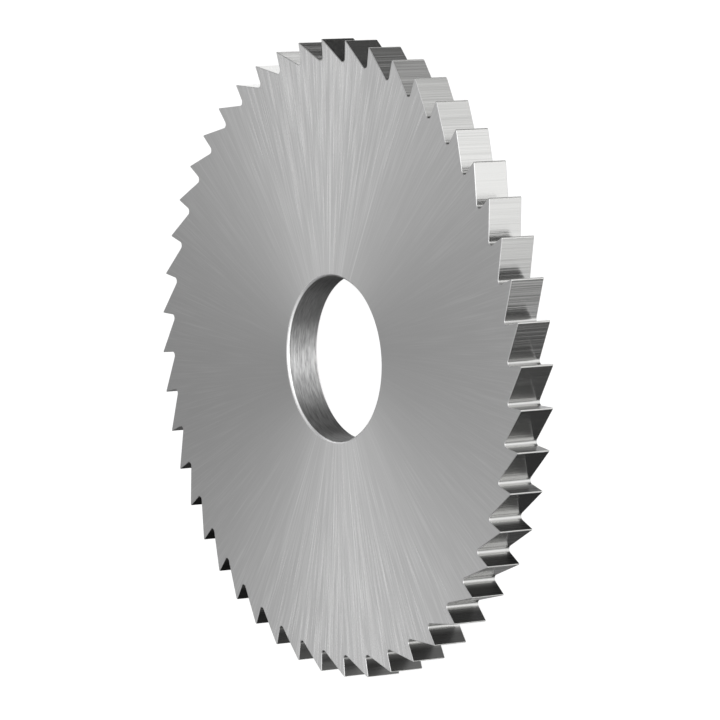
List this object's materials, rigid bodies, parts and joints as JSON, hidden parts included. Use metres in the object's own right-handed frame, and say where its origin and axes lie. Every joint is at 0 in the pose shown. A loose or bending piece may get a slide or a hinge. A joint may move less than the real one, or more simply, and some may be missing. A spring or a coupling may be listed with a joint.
{
  "type": "slitting saw",
  "caption": "Thin round slitting saw: a flat steel disc with fine ground teeth round its rim and a plain chamfered bore for a milling arbor.",
  "frame": {"origin": "on the bore axis, in the plane that the rim's lower corners rest on, so at the centre of the bottom of the box", "axes": "+Z along the bore axis, up through the blade as it lies on its side; +X through one cutting edge; cutting faces look anticlockwise seen from +Z"},
  "size_m": [0.05, 0.05, 0.003],
  "materials": {
    "ground_steel": "bright high-speed steel, sides ground in fine radial lines, teeth ground across the width"
  },
  "bodies": {
    "root": {"saw_blade": "ground_steel"}
  },
  "joints": []
}
